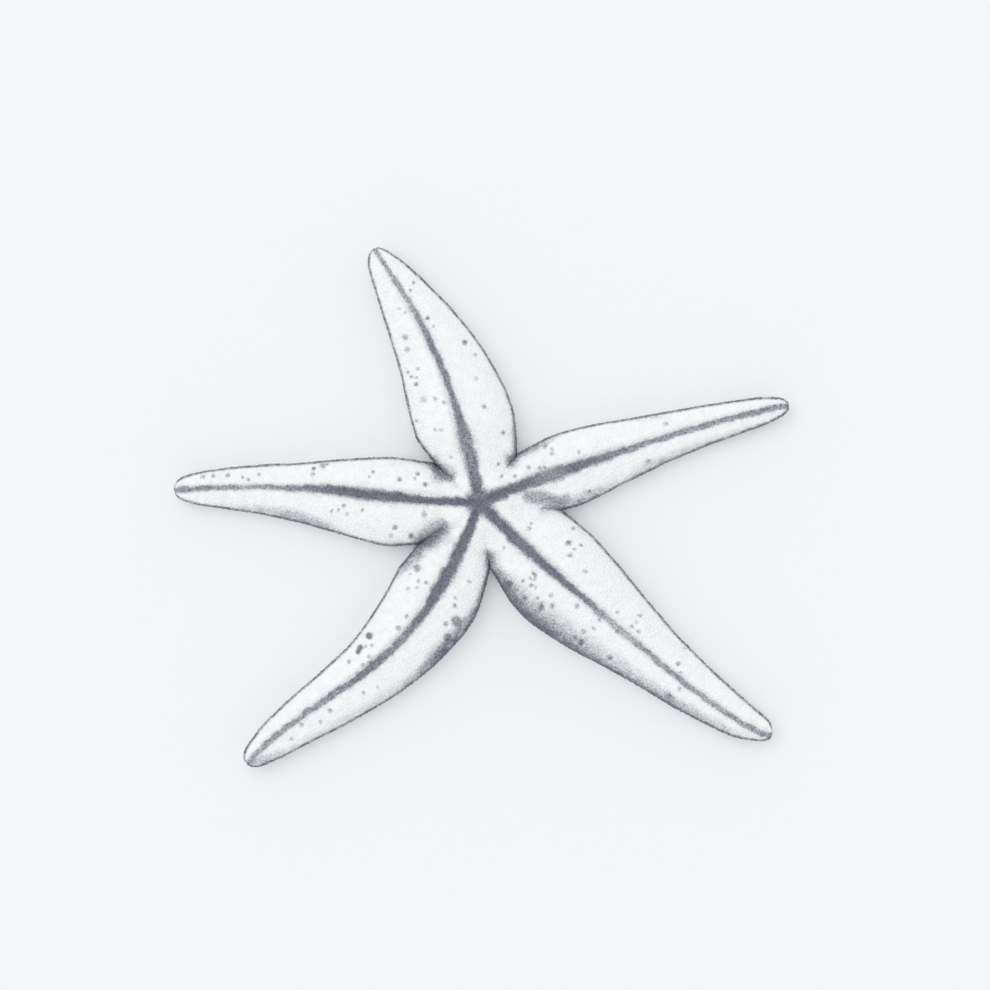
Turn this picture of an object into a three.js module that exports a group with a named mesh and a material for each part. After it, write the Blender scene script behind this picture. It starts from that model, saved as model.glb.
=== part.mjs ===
// A dried starfish that lies flat on its underside: five tapering, gently bent arms that
// grew from one small disc, in one piece.
//
// Upper side: each arm is a low rounded vault. A furrow runs along its middle, from the centre
// of the disc almost to the tip, and a crease runs into the disc between each two arms.
// Underside: a flat sole, with an open groove along each arm. The grooves meet at the mouth.
//
// Millimetres and degrees, +Z up. Places are measured from the middle of the disc while the
// shape is worked out. At the end the part is moved, so that its origin is the middle of its
// bounding box at the height of the surface that it lies on.

import * as THREE from "three";
import { mergeVertices } from "three/addons/utils/BufferGeometryUtils.js";

const { clamp, lerp, smoothstep, degToRad } = THREE.MathUtils;

// ---------------------------------------------------------------- driving dimensions

// The arms in counter-clockwise order. The middle line is a Bezier curve from the middle of the
// disc: "handles" bend it and "tip" ends it. "left" and "right" are the half-widths of the two
// flanks at WIDTH_STATIONS, seen looking outwards. "lift" is how far the tip curls up.
const ARMS = [
  { handles: [[16.5, 7], [48.5, 17.5]], tip: [65.3, 20.5], lift: 1.8,
    left: [7.8, 5.2, 3.0, 1.9], right: [8.1, 5.2, 3.1, 1.9] },
  { handles: [[-7.5, 29.5], [-7.5, 29.5]], tip: [-22.3, 53.5], lift: 2.6,
    left: [9.7, 7.9, 4.1, 2.5], right: [11.7, 8.6, 3.9, 1.9] },
  { handles: [[-21, 1], [-42.5, 4.5]], tip: [-64.7, 2.6], lift: 1.2,
    left: [10.6, 6.9, 3.8, 2.4], right: [8.1, 5.5, 3.6, 2.5] },
  { handles: [[-13.5, -37.5], [-33.5, -38]], tip: [-49.2, -55.2], lift: 2.2,
    left: [9.7, 7.7, 4.6, 2.5], right: [9.4, 6.1, 3.5, 2.3] },
  { handles: [[16, -15.5], [52.5, -48]], tip: [61.7, -49.1], lift: 1.5,
    left: [10.9, 7.2, 4.1, 2.9], right: [11.5, 7.4, 3.9, 1.9] },
];
const WIDTH_STATIONS = [0.3, 0.6, 0.9, 0.98]; // shares of an arm's length: shoulder to tip

// Where the outlines of neighbouring arms meet. PITS[k] lies between arm k and the next one.
const PITS = [
  { bearing: 52.5, radius: 12.8 },
  { bearing: 139.5, radius: 12.9 },
  { bearing: 214, radius: 16.1 },
  { bearing: 278.5, radius: 14.2 },
  { bearing: 354.5, radius: 17.3 },
];

const DISC_HEIGHT = 9.6; // at the centre
const ARM_HEIGHT_SHARE = 0.74; // of the arm's mean half-width ...
const ARM_HEIGHT_BASE = 1.6; // ... with this added
const EDGE_AT_PIT = 3.0; // height of the arm's widest line, at its root ...
const EDGE_AT_TIP = 1.9; // ... and at its tip
const VAULT_POWER = 0.45; // 0.5 makes an elliptic vault, and less a fuller one
const CREASE_START = 0.2; // share of the way from the centre to a pit
const CAP_LENGTH = 2.4; // of an arm's rounded end
const CURL_START = 0.55; // share of the free arm from which the tip curls up

const CHANNEL_REACH = 2.5; // from the middle line to the lips of the furrow and groove, at the root
const CHANNEL_TIP_SHARE = 0.35; // reach at the tip, as a share of the reach at the root
const CHANNEL_ROOM = 0.45; // the channels reach no further than this share of the half-width
const CHANNEL_END = 0.97; // share of the arm's length at which both channels have faded out
const CHANNEL_FADE = 0.12;
const FURROW_DEPTH = 1.2; // above
const GROOVE_DEPTH = 3.4; // below
const MOUTH_RADIUS = 4.6;
const MOUTH_DEPTH = 5.2;
const SOLE_SHARE = 0.62; // share of an arm's half-width over which the underside is flat
const SOLE_SHARE_AT_CENTRE = 0.5;

// Mesh fineness: rows along an arm, and columns across half of it
const DISC_ROWS = 10;
const ARM_ROWS = 20;
const CAP_ROWS = 4;
const CHANNEL_COLUMNS = 3;
const FLANK_COLUMNS = 6;
const CHAIN_STEPS = 60; // straight steps that stand for a middle line when distances are taken
const WELD_DISTANCE = 1e-3;

const SURFACE_COLOUR = 0xf1f1ee;

// ---------------------------------------------------------------- plan of the arms

const CENTRE = new THREE.Vector2();
const COLUMNS = CHANNEL_COLUMNS + FLANK_COLUMNS;

// The value at x of a smooth curve through the given points. It runs level beyond the ends.
function curveAt(x, stations, values) {
  const last = stations.length - 1;
  if (x <= stations[0]) return values[0];
  if (x >= stations[last]) return values[last];
  const i = stations.findIndex((station) => station > x) - 1;
  const slope = (k) => {
    const a = Math.max(k - 1, 0);
    const b = Math.min(k + 1, last);
    return (values[b] - values[a]) / (stations[b] - stations[a]);
  };
  const span = stations[i + 1] - stations[i];
  const t = (x - stations[i]) / span;
  return (
    values[i] * (1 + 2 * t) * (1 - t) ** 2 +
    values[i + 1] * t * t * (3 - 2 * t) +
    span * slope(i) * t * (1 - t) ** 2 -
    span * slope(i + 1) * t * t * (1 - t)
  );
}

function middleLine({ handles, tip }) {
  const points = [[0, 0], ...handles, tip].map(([x, y]) => new THREE.Vector2(x, y));
  return new THREE.CubicBezierCurve(...points);
}

// Where a line passes nearest to a point, as a share of its length, and how near.
function nearestOn(line, point) {
  const chain = line.getSpacedPoints(CHAIN_STEPS);
  let best = { share: 0, distance: Infinity };
  for (let i = 0; i < CHAIN_STEPS; i++) {
    const step = chain[i + 1].clone().sub(chain[i]);
    const along = clamp(point.clone().sub(chain[i]).dot(step) / step.lengthSq(), 0, 1);
    const distance = chain[i].clone().addScaledVector(step, along).distanceTo(point);
    if (distance < best.distance) best = { share: (i + along) / CHAIN_STEPS, distance };
  }
  return best;
}

const lines = ARMS.map(middleLine);
const pits = PITS.map(({ bearing, radius }) =>
  new THREE.Vector2(radius, 0).rotateAround(CENTRE, degToRad(bearing)),
);

// One flank of an arm. The left flank (side 1) starts at the arm's own pit, the right one
// (side -1) at the pit before it.
function makeFlank(k, side) {
  const line = lines[k];
  const pit = pits[side > 0 ? k : (k + PITS.length - 1) % PITS.length];
  const root = nearestOn(line, pit);
  const widths = side > 0 ? ARMS[k].left : ARMS[k].right;
  const stations = [root.share, ...WIDTH_STATIONS];
  const values = [root.distance, ...widths];
  return { line, side, pit, root: root.share, widthAt: (s) => curveAt(s, stations, values) };
}

const capStart = (line) => 1 - CAP_LENGTH / line.getLength();

// 1 along the arm, falling to 0 round its rounded end
function capAt(line, share) {
  const round = Math.max(0, share - capStart(line)) / (1 - capStart(line));
  return Math.sqrt(Math.max(0, 1 - round ** 2));
}

function outlineAt(flank, share) {
  const tangent = flank.line.getTangentAt(share);
  const outwards = new THREE.Vector2(-tangent.y, tangent.x).multiplyScalar(flank.side);
  const reach = flank.widthAt(share) * capAt(flank.line, share);
  return flank.line.getPointAt(share).addScaledVector(outwards, reach);
}

// ---------------------------------------------------------------- rows of half an arm

// Where row i ends on a flank. Rows up to DISC_ROWS end on the straight line from the centre to
// the pit, and the others on the arm's outline. "share" is the place on the middle line beside
// the row's end, and "aside" leads from there to the end.
function rowEnd(flank, i) {
  const start = capStart(flank.line);
  const free = i - DISC_ROWS;
  let share = flank.root;
  let point = flank.pit;
  if (free < 0) {
    point = CENTRE.clone().lerp(flank.pit, i / DISC_ROWS);
    share = nearestOn(flank.line, point).share;
  } else if (free > 0) {
    const turn = (Math.max(0, free - ARM_ROWS) / CAP_ROWS) * (Math.PI / 2);
    share = free <= ARM_ROWS ? lerp(share, start, free / ARM_ROWS) : lerp(start, 1, Math.sin(turn));
    point = outlineAt(flank, share);
  }
  return { share, aside: point.clone().sub(flank.line.getPointAt(share)) };
}

function makeRow(arm, side, i) {
  const { line } = arm[side];
  const ends = { left: rowEnd(arm.left, i), right: rowEnd(arm.right, i) };
  const { share: endShare, aside } = ends[side];
  const share = (ends.left.share + ends.right.share) / 2;
  const rootShare = (arm.left.root + arm.right.root) / 2;
  const inwards = Math.min(1, i / DISC_ROWS); // 0 at the centre, 1 from the pits outwards
  const outwards = Math.max(0, share - rootShare) / (1 - rootShare); // 1 at the tip
  const cap = capAt(line, share);
  const armHalf = (arm.left.widthAt(share) + arm.right.widthAt(share)) / 2;
  const armHeight = ARM_HEIGHT_BASE + ARM_HEIGHT_SHARE * armHalf;
  const edge = lerp(EDGE_AT_PIT, EDGE_AT_TIP, outwards);
  const room = CHANNEL_ROOM * Math.min(ends.left.aside.length(), ends.right.aside.length());
  const reach = Math.min(room, CHANNEL_REACH * lerp(1, CHANNEL_TIP_SHARE, share));
  const fade = 1 - smoothstep(share, CHANNEL_END - CHANNEL_FADE, CHANNEL_END);
  return {
    inwards,
    cap,
    ridge: edge + (lerp(DISC_HEIGHT, armHeight, smoothstep(inwards, 0, 1)) - edge) * cap,
    endHeight: lerp(DISC_HEIGHT, edge, smoothstep(inwards, CREASE_START, 1)),
    endBelow: edge * smoothstep(inwards, 0.4, 1),
    curl: arm.lift * (Math.max(0, outwards - CURL_START) / (1 - CURL_START)) ** 2,
    lip: reach > 0 ? reach / aside.length() : CHANNEL_ROOM,
    channel: (fade * reach) / CHANNEL_REACH,
    // the row leaves the middle line at a right angle and bends over to its end
    pointAt: (across) =>
      line
        .getPointAt(lerp(share, endShare, across ** 2))
        .addScaledVector(aside, across),
  };
}

// Share of the way from the middle line to the row's end: even steps to the channel's lip,
// then steps that shorten towards the end.
function columnAt(row, j) {
  if (j <= CHANNEL_COLUMNS) return (row.lip * j) / CHANNEL_COLUMNS;
  return lerp(row.lip, 1, Math.sin((((j - CHANNEL_COLUMNS) / FLANK_COLUMNS) * Math.PI) / 2));
}

// ---------------------------------------------------------------- heights

// How deep a channel is at a point of a row: 1 in the middle at its root, 0 outside its lips
function channelAt(row, across) {
  return row.channel * (1 - Math.min(1, across / row.lip) ** 2) ** 2;
}

function upperHeight(row, across) {
  const vault = (1 - across ** 2) ** VAULT_POWER;
  const valley = 0.5 + 0.5 * Math.cos(Math.PI * across);
  const section = lerp(valley, vault, row.inwards ** 2);
  const height = lerp(row.endHeight, row.ridge, section) + row.curl;
  return height - FURROW_DEPTH * channelAt(row, across);
}

// Flat, then rounding up to the row's end
function lowerHeight(row, across) {
  const whole = row.inwards ** 2;
  const flat = lerp(SOLE_SHARE_AT_CENTRE, SOLE_SHARE, whole);
  const out = Math.max(0, (across - flat) / (1 - flat));
  const rounding = lerp(out ** 2, 1 - Math.sqrt(1 - out ** 2), whole);
  const height = row.endBelow * (1 - row.cap * (1 - rounding)) + row.curl;
  const fromCentre = row.pointAt(across).length();
  const mouth = MOUTH_DEPTH * (1 - smoothstep(fromCentre, MOUTH_RADIUS / 3, MOUTH_RADIUS));
  return height + Math.max(GROOVE_DEPTH * channelAt(row, across), mouth);
}

// ---------------------------------------------------------------- the whole skin

// A sheet of triangles over half an arm: its upper side or its underside.
function halfSheet(arm, side, upper) {
  const heightAt = upper ? upperHeight : lowerHeight;
  const rowCount = DISC_ROWS + ARM_ROWS + CAP_ROWS;
  const positions = [];
  const triangles = [];
  for (let i = 0; i <= rowCount; i++) {
    const row = makeRow(arm, side, i);
    for (let j = 0; j <= COLUMNS; j++) {
      const across = columnAt(row, j);
      const { x, y } = row.pointAt(across);
      positions.push([x, y, heightAt(row, across)]);
    }
  }
  const anticlockwise = (side === "right") === upper;
  for (let i = 0; i < rowCount; i++) {
    for (let j = 0; j < COLUMNS; j++) {
      const a = i * (COLUMNS + 1) + j;
      const b = a + COLUMNS + 1;
      const [p, q, r, s] = anticlockwise ? [a, a + 1, b + 1, b] : [a, b, b + 1, a + 1];
      triangles.push([p, q, r], [p, r, s]);
    }
  }
  return { positions, triangles };
}

function starfishSkin() {
  const positions = [];
  const triangles = [];
  ARMS.forEach(({ lift }, k) => {
    const arm = { left: makeFlank(k, 1), right: makeFlank(k, -1), lift };
    for (const side of ["left", "right"]) {
      for (const upper of [true, false]) {
        const sheet = halfSheet(arm, side, upper);
        const first = positions.length;
        positions.push(...sheet.positions);
        triangles.push(...sheet.triangles.map((corners) => corners.map((c) => c + first)));
      }
    }
  });
  const sheets = new THREE.BufferGeometry();
  sheets.setAttribute("position", new THREE.Float32BufferAttribute(positions.flat(), 3));
  sheets.setIndex(triangles.flat());
  return withoutSlivers(mergeVertices(sheets, WELD_DISTANCE));
}

// Drops the triangles that welding has closed up, at the centre and the tips.
function withoutSlivers(geometry) {
  const corners = Array.from(geometry.index.array);
  const kept = [];
  for (let i = 0; i < corners.length; i += 3) {
    const [a, b, c] = corners.slice(i, i + 3);
    if (a !== b && b !== c && c !== a) kept.push(a, b, c);
  }
  geometry.setIndex(kept);
  geometry.computeVertexNormals();
  return geometry;
}

function moveToOrigin(geometry) {
  geometry.computeBoundingBox();
  const { min, max } = geometry.boundingBox;
  geometry.translate(-(min.x + max.x) / 2, -(min.y + max.y) / 2, -min.z);
}

const skin = starfishSkin();
moveToOrigin(skin);

const starfish = new THREE.Mesh(
  skin,
  new THREE.MeshStandardMaterial({ color: SURFACE_COLOUR, roughness: 0.85, metalness: 0 }),
);
starfish.name = "starfish";

const part = new THREE.Group();
part.add(starfish);
export default part;
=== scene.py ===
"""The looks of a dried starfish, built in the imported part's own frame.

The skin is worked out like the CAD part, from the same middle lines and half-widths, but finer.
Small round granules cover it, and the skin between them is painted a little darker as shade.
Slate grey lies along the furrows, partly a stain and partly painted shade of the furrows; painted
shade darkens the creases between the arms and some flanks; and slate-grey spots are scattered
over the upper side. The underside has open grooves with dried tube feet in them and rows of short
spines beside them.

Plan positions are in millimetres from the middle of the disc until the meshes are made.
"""

import math

import bmesh
import bpy
import numpy as np
from mathutils import Matrix, Vector, kdtree, noise
from mathutils.bvhtree import BVHTree


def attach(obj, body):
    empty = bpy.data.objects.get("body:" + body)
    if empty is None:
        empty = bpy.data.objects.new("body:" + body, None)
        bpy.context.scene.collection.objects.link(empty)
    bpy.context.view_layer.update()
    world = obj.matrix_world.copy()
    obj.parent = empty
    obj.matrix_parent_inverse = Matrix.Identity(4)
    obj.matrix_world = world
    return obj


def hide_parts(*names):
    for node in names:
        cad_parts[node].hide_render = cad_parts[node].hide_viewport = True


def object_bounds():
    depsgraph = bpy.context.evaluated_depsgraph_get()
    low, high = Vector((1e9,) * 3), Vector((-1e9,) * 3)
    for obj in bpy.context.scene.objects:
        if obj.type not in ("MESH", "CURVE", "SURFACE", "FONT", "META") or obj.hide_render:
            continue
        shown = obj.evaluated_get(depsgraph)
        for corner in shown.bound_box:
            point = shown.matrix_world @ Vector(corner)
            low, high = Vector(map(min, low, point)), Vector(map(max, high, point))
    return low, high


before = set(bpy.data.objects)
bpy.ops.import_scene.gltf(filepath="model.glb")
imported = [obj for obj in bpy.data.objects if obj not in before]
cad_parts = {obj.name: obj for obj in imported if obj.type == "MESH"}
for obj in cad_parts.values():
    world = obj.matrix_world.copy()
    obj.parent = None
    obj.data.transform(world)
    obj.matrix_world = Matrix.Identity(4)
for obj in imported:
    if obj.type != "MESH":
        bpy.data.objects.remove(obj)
cad_low, cad_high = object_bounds()
MM = 0.001

# ---------- camera

FRAME_WIDTH = 209.4  # mm seen across the picture, at the height of the arms' edges
EDGE_HEIGHT = 3.0
VIEW_MIDDLE = (2.84, 2.62)  # mm from the middle of the part's box
LENS = 200.0
SENSOR = 36.0

camera = bpy.data.objects.new("camera", bpy.data.cameras.new("camera"))
camera.data.lens = LENS
camera.data.sensor_width = SENSOR
camera.data.clip_start = 0.01
camera.data.clip_end = 20
above = FRAME_WIDTH * LENS / SENSOR + EDGE_HEIGHT
camera.location = Vector((*VIEW_MIDDLE, above)) * MM
bpy.context.scene.collection.objects.link(camera)
bpy.context.scene.camera = camera

# ---------- dimensions

# The arms anticlockwise, as in the CAD part. Their middle lines start at the middle of the disc.
# A flank's half-widths are at WIDTH_STATIONS. "stripe" lists shares of the arm's length, with
# the dark stripe's half-width, its darkness and how far it lies to the left of the middle line
# there. "specks" is the number of scattered small spots on the left and right flank.
ARMS = [
    dict(
        name="right", handles=((16.5, 7), (48.5, 17.5)),
        tip=(65.3, 20.5), lift=1.8,
        left=(7.8, 5.2, 3.0, 1.9), right=(8.1, 5.2, 3.1, 1.9), specks=(1, 2),
        stripe=(
            (0.05, 1.4, 0.97, 0.1), (0.15, 1.3, 0.95, 0), (0.23, 1.6, 0.78, -0.1),
            (0.31, 1.2, 0.95, -0.15), (0.42, 0.9, 0.86, -0.25), (0.6, 0.62, 0.74, -0.1),
            (0.97, 0.62, 0.8, 0),
        ),
    ),
    dict(
        name="top", handles=((-7.5, 29.5), (-7.5, 29.5)),
        tip=(-22.3, 53.5), lift=2.6,
        left=(9.7, 7.9, 4.1, 2.5), right=(11.7, 8.6, 3.9, 1.9), specks=(4, 2),
        stripe=(
            (0.05, 1.5, 0.95, -0.2), (0.15, 1.4, 0.86, -0.35), (0.23, 1.4, 0.76, -0.4),
            (0.3, 1.1, 0.9, -0.35), (0.38, 0.8, 0.84, -0.3), (0.6, 0.76, 0.86, -0.2),
            (0.75, 0.62, 0.64, -0.35), (0.97, 0.5, 0.62, 0),
        ),
    ),
    dict(
        name="left", handles=((-21, 1), (-42.5, 4.5)),
        tip=(-64.7, 2.6), lift=1.2,
        left=(10.6, 6.9, 3.8, 2.4), right=(8.1, 5.5, 3.6, 2.5), specks=(4, 3),
        stripe=(
            (0.05, 1.2, 1, 0.1), (0.15, 0.95, 1, 0.3), (0.23, 1.0, 1, 0.3), (0.31, 1.2, 0.98, 0.2),
            (0.4, 1.2, 1, 0.05), (0.5, 1.0, 0.92, -0.3), (0.62, 0.62, 0.78, -0.1),
            (0.75, 0.54, 0.66, 0), (0.97, 0.62, 0.78, 0.1),
        ),
    ),
    dict(
        name="lower_left", handles=((-13.5, -37.5), (-33.5, -38)),
        tip=(-49.2, -55.2), lift=2.2,
        left=(9.7, 7.7, 4.6, 2.5), right=(9.4, 6.1, 3.5, 2.3), specks=(2, 3),
        stripe=(
            (0.05, 1.1, 0.98, 0), (0.15, 1.35, 0.96, 0), (0.24, 1.45, 0.96, 0.05),
            (0.36, 0.9, 0.95, 0.3), (0.45, 0.9, 0.82, 0.35), (0.58, 0.92, 0.92, 0.25),
            (0.68, 0.72, 0.76, 0.1), (0.97, 0.6, 0.68, 0),
        ),
    ),
    dict(
        name="lower_right", handles=((16, -15.5), (52.5, -48)),
        tip=(61.7, -49.1), lift=1.5,
        left=(10.9, 7.2, 4.1, 2.9), right=(11.5, 7.4, 3.9, 1.9), specks=(3, 6),
        stripe=(
            (0.05, 1.45, 0.97, -0.3), (0.15, 1.3, 0.94, -0.4), (0.26, 0.95, 0.97, -0.3),
            (0.37, 0.7, 0.88, -0.1), (0.48, 0.74, 0.56, -0.1), (0.6, 0.6, 0.68, -0.1),
            (0.8, 0.62, 0.66, -0.25), (0.97, 0.7, 0.7, -0.3),
        ),
    ),
]
WIDTH_STATIONS = (0.3, 0.6, 0.9, 0.98)

# Where neighbouring outlines meet: bearing in degrees, and distance from the middle of the disc.
# The creases run in from there to "inner". Their smudge of painted shade is "spread" wide, lies
# "aside" of the crease towards the arm on its left, and has a darker painted "line" along the crease
# itself.
PITS = [
    dict(bearing=52.5, radius=12.8, inner=9.4, spread=1.4, aside=0.2, dark=0.64, line=0.25),
    dict(bearing=139.5, radius=12.9, inner=7.8, spread=1.7, aside=0.9, dark=0.85, line=0.4),
    dict(bearing=214, radius=16.1, inner=8.0, spread=2.1, aside=0.3, dark=0.88, line=0.35),
    dict(bearing=278.5, radius=14.2, inner=10.2, spread=1.3, aside=0.3, dark=0.62, line=0.2),
    dict(bearing=354.5, radius=17.3, inner=12.8, spread=1.2, aside=0.8, dark=0.6, line=0.1),
]

DISC_HEIGHT = 9.6
ARM_HEIGHT_SHARE = 0.74
ARM_HEIGHT_BASE = 1.6
EDGE_AT_PIT = 3.0
EDGE_AT_TIP = 1.9
VAULT_POWER = 0.45
CREASE_START = 0.2
CAP_LENGTH = 2.4
CURL_START = 0.55
CHANNEL_REACH = 2.5
CHANNEL_TIP_SHARE = 0.35
CHANNEL_ROOM = 0.45
CHANNEL_END = 0.97
CHANNEL_FADE = 0.12
FURROW_DEPTH = 1.2
GROOVE_DEPTH = 3.4
MOUTH_RADIUS = 4.6
MOUTH_DEPTH = 5.2
SOLE_RISE_START = 0.4
SOLE_SHARE = 0.62
SOLE_SHARE_AT_CENTRE = 0.5

LINE_STEPS = 1200
CHAIN_STEPS = 80
SMALL_SHARE = 1e-3
NO_WIDTH = 1e-9
# Rows along an arm, and columns across half of it in the channel and on the flank
DISC_ROWS = 26
ARM_ROWS = 148
CAP_ROWS = 10
UPPER_COLUMNS = (7, 22)
LOWER_COLUMNS = (7, 13)

SEED = 11
rng = np.random.default_rng(SEED)

# ---------- small helpers


def lerp(a, b, t):
    return a + (b - a) * t


def smoothstep(x, low, high):
    t = np.clip((x - low) / (high - low), 0, 1)
    return t * t * (3 - 2 * t)


def curve_at(x, stations, values):
    """A smooth curve through the given values, level beyond its ends."""
    x = np.asarray(x, float)
    stations = np.asarray(stations, float)
    values = np.asarray(values, float)
    last = len(stations) - 1
    slopes = np.empty(last + 1)
    for k in range(last + 1):
        a, b = max(k - 1, 0), min(k + 1, last)
        slopes[k] = (values[b] - values[a]) / (stations[b] - stations[a])
    i = np.clip(np.searchsorted(stations, x, side="right") - 1, 0, last - 1)
    span = stations[i + 1] - stations[i]
    t = np.clip((x - stations[i]) / span, 0, 1)
    return (
        values[i] * (1 + 2 * t) * (1 - t) ** 2
        + values[i + 1] * t * t * (3 - 2 * t)
        + span * slopes[i] * t * (1 - t) ** 2
        - span * slopes[i + 1] * t * t * (1 - t)
    )


def noise_at(points, size, offset=0.0):
    """Smooth noise from about -1 to 1, with features of the given size, at (x, y, z) rows.
    Another offset gives another pattern."""
    away = Vector((offset, 7.3, 1.9))
    return np.array([noise.noise(Vector(p) / size + away) for p in points])


def read(items, name, width=1, kind=np.float32):
    """One property of all items of a Blender collection, as an array."""
    values = np.empty(len(items) * width, kind)
    items.foreach_get(name, values)
    return values if width == 1 else values.reshape(-1, width)


def set_map(mesh, uv):
    """Gives a mesh its map, one row for each face corner."""
    mesh.uv_layers.new(name="OFBake")
    mesh.uv_layers["OFBake"].data.foreach_set("uv", uv.astype(np.float32).ravel())


# ---------- plan of the arms


class Line:
    """An arm's middle line, by share of its length."""

    def __init__(self, handles, tip):
        t = np.linspace(0, 1, LINE_STEPS + 1)[:, None]
        h1, h2, end = (np.array(p, float) for p in (*handles, tip))
        self.points = 3 * (1 - t) ** 2 * t * h1 + 3 * (1 - t) * t**2 * h2 + t**3 * end
        walked = np.linalg.norm(np.diff(self.points, axis=0), axis=1)
        self.length = walked.sum()
        self.shares = np.concatenate([[0], np.cumsum(walked)]) / self.length
        # points at even steps along the line, for measuring distances from it
        self.chain = self.at(np.linspace(0, 1, CHAIN_STEPS + 1))

    def at(self, share):
        return np.stack(
            [np.interp(share, self.shares, self.points[:, c]) for c in (0, 1)], axis=-1
        )

    def aside(self, share):
        """Unit vector to the left of the line."""
        after = self.at(np.minimum(share + SMALL_SHARE, 1))
        step = after - self.at(np.maximum(share - SMALL_SHARE, 0))
        step /= np.linalg.norm(step, axis=-1, keepdims=True)
        return np.stack([-step[..., 1], step[..., 0]], axis=-1)

    def nearest(self, points):
        """Share and distance to the left, for each point."""
        start, step = self.chain[:-1], np.diff(self.chain, axis=0)
        found = np.full(len(points), np.inf)
        share = np.zeros(len(points))
        sign = np.ones(len(points))
        for i in range(len(step)):
            away = points - start[i]
            t = np.clip(away @ step[i] / (step[i] @ step[i]), 0, 1)
            rest = away - t[:, None] * step[i]
            distance = np.hypot(rest[:, 0], rest[:, 1])
            closer = distance < found
            found[closer] = distance[closer]
            share[closer] = (i + t[closer]) / len(step)
            turn = step[i, 0] * away[:, 1] - step[i, 1] * away[:, 0]
            sign[closer] = np.where(turn[closer] < 0, -1, 1)
        return share, found * sign


def pit_point(pit):
    bearing = math.radians(pit["bearing"])
    return pit["radius"] * np.array([math.cos(bearing), math.sin(bearing)])


class Flank:
    """Half of an arm: its left (side 1) or right (side -1)."""

    def __init__(self, k, side):
        self.line = LINES[k]
        self.side = side
        self.pit = pit_point(PITS[k if side > 0 else k - 1])
        share, distance = self.line.nearest(self.pit[None])
        self.root = share[0]
        self.stations = (self.root, *WIDTH_STATIONS)
        self.widths = (abs(distance[0]), *ARMS[k]["left" if side > 0 else "right"])

    def width_at(self, share):
        return curve_at(share, self.stations, self.widths)

    def outline_at(self, share):
        reach = self.width_at(share) * cap_at(self.line, share) * self.side
        return self.line.at(share) + self.line.aside(share) * reach[..., None]

    def row_ends(self):
        """Shares and points where the rows end: first on the straight line from the centre to
        the pit, then on the outline."""
        inner = np.linspace(0, 1, DISC_ROWS + 1)[:, None] * self.pit
        start = 1 - CAP_LENGTH / self.line.length
        free = lerp(self.root, start, np.linspace(0, 1, ARM_ROWS + 1)[1:])
        turn = np.linspace(0, math.pi / 2, CAP_ROWS + 1)[1:]
        cap = lerp(start, 1, np.sin(turn))
        outer = np.concatenate([free, cap])
        shares = np.concatenate([self.line.nearest(inner)[0], outer])
        return shares, np.concatenate([inner, self.outline_at(outer)])


def cap_at(line, share):
    """1 along the arm, falling to 0 round its rounded end."""
    start = 1 - CAP_LENGTH / line.length
    turned = np.clip((share - start) / (1 - start), 0, 1)
    return np.sqrt(1 - turned**2)


LINES = [Line(arm["handles"], arm["tip"]) for arm in ARMS]
FLANKS = [{1: Flank(k, 1), -1: Flank(k, -1)} for k in range(len(ARMS))]


# ---------- the skin's shape


def channel_reach(share):
    """Half the width of an arm's channel, which narrows towards the tip."""
    return CHANNEL_REACH * lerp(1, CHANNEL_TIP_SHARE, share)


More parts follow.
